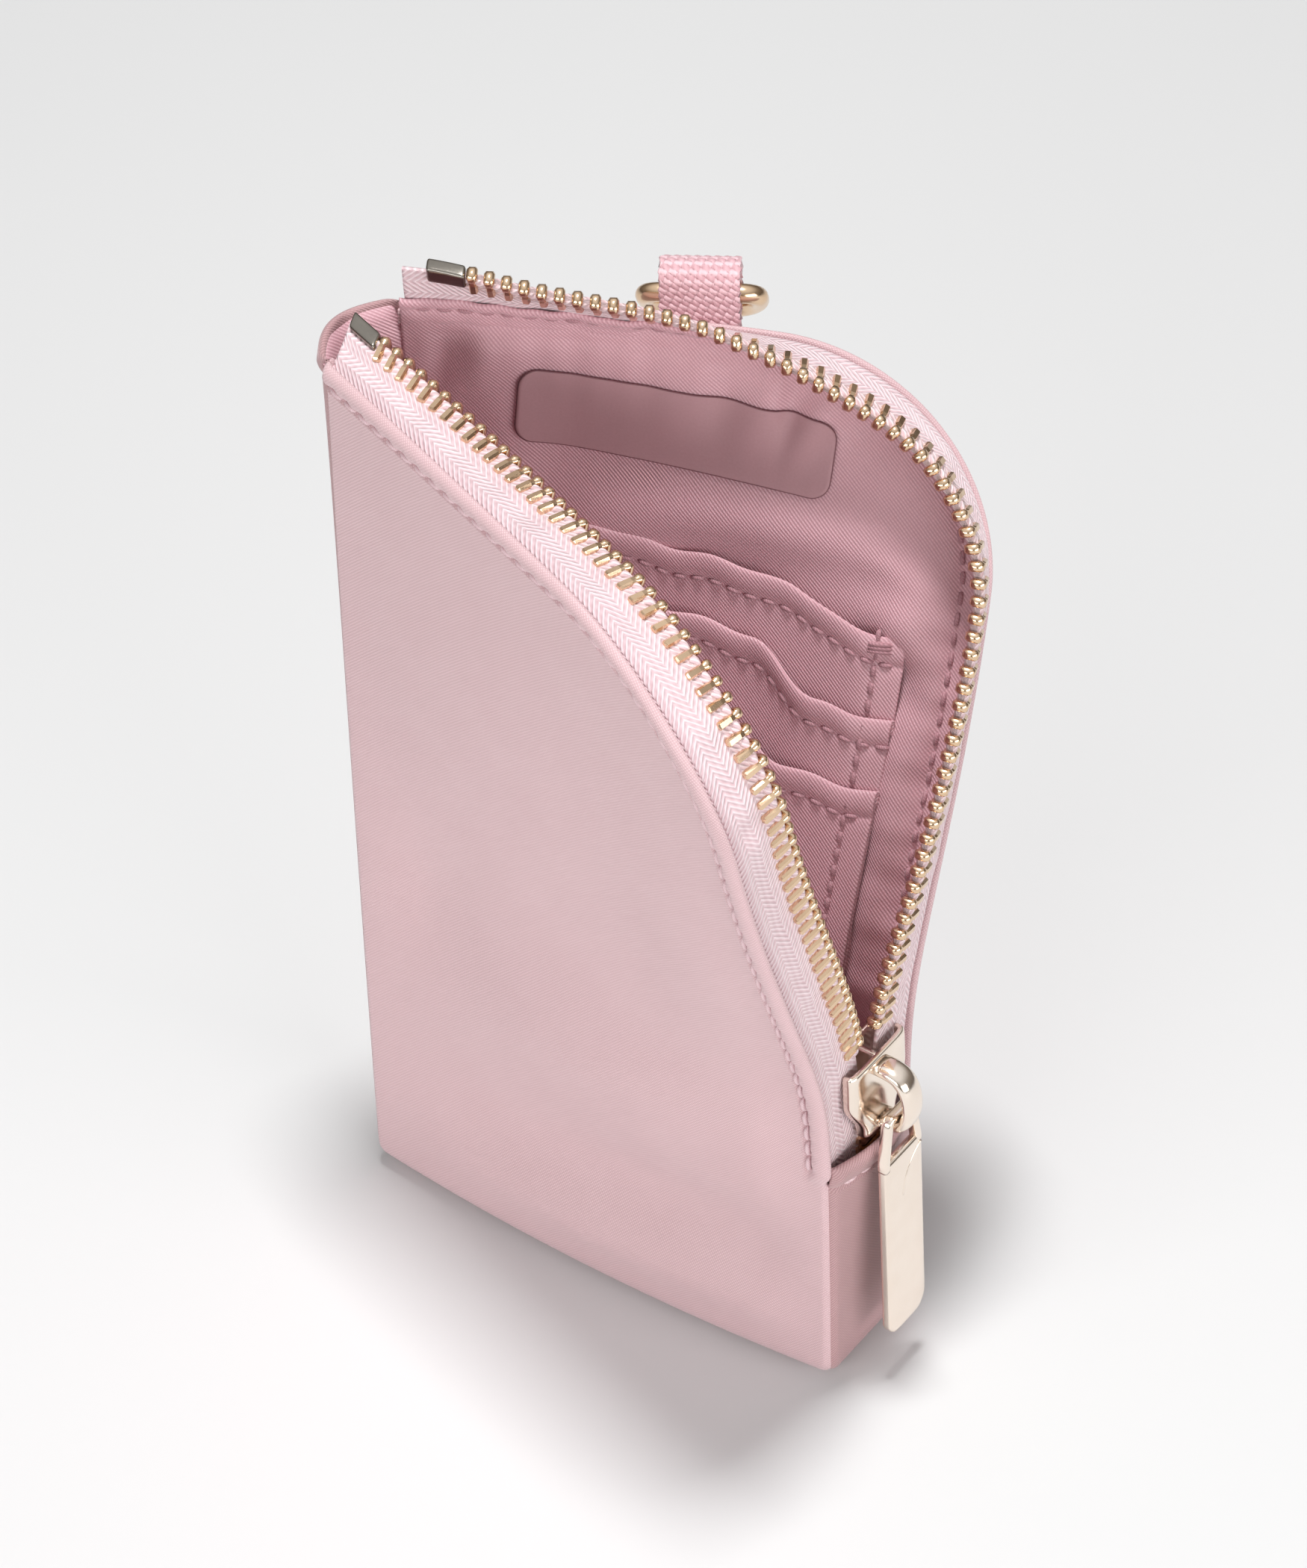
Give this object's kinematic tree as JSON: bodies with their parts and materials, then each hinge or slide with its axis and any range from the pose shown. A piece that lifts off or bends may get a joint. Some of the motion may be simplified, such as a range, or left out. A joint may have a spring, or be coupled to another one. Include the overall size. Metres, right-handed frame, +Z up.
{
  "type": "zip wristlet pouch",
  "caption": "Small lined fabric wristlet standing open, with a metal zip along the top and side, card pockets inside, a slider with a long pull and a D-ring on a webbing loop.",
  "frame": {"origin": "centre of the base, on the surface that the pouch stands on", "axes": "+X to the right across the front panel, +Y from the front panel to the back panel, +Z up; the pouch is stored standing open, as pictured"},
  "size_m": [0.1018, 0.0795, 0.1775],
  "materials": {
    "panel_cloth": "pale pink satin twill",
    "gusset_cloth": "pale pink satin twill",
    "interlining": "thin off-white felt",
    "lining_cloth": "dusky rose satin twill",
    "label": "matte, stitched round the edge, plain",
    "zip_tape": "pale pink herringbone",
    "zip_metal": "polished gold",
    "stop_metal": "polished, darker than the teeth",
    "slider_metal": "polished champagne gold",
    "webbing": "ribbed pink webbing"
  },
  "bodies": {
    "pouch": {"front_panel": "panel_cloth", "back_panel": "panel_cloth", "left_gusset": "gusset_cloth", "right_gusset": "gusset_cloth", "bottom_gusset": "gusset_cloth", "front_interlining": "interlining", "back_interlining": "interlining", "front_lining": "lining_cloth", "back_lining": "lining_cloth", "left_lining": "lining_cloth", "right_lining": "lining_cloth", "bottom_lining": "lining_cloth", "upper_pocket": "lining_cloth", "middle_card_pocket": "lining_cloth", "lower_card_pocket": "lining_cloth", "lining_label": "label", "front_zip_tape": "zip_tape", "rear_zip_tape": "zip_tape", "front_zip_teeth": "zip_metal", "rear_zip_teeth": "zip_metal", "front_top_stop": "stop_metal", "rear_top_stop": "stop_metal", "closed_chain": "zip_metal", "bottom_stop": "zip_metal", "webbing_loop": "webbing"},
    "slider": {"slider_body": "slider_metal", "slider_crown": "slider_metal"},
    "pull": {"pull_tab": "slider_metal"},
    "ring": {"d_ring": "slider_metal"}
  },
  "joints": [
    {"name": "slider_slide", "type": "slide", "parent": "pouch", "child": "slider", "axis": [0, 0, 1], "range_m": [0, 0.003]},
    {"name": "pull_swing", "type": "hinge", "parent": "slider", "child": "pull", "pos_m": [0.05214, 0, 0.0559], "axis": [0, -1, 0], "range_deg": [0, 110]},
    {"name": "ring_swing", "type": "hinge", "parent": "pouch", "child": "ring", "pos_m": [-0.00485, 0.03548, 0.16656], "axis": [0.8494, 0.5276, -0.0151], "range_deg": [-50, 85]}
  ]
}
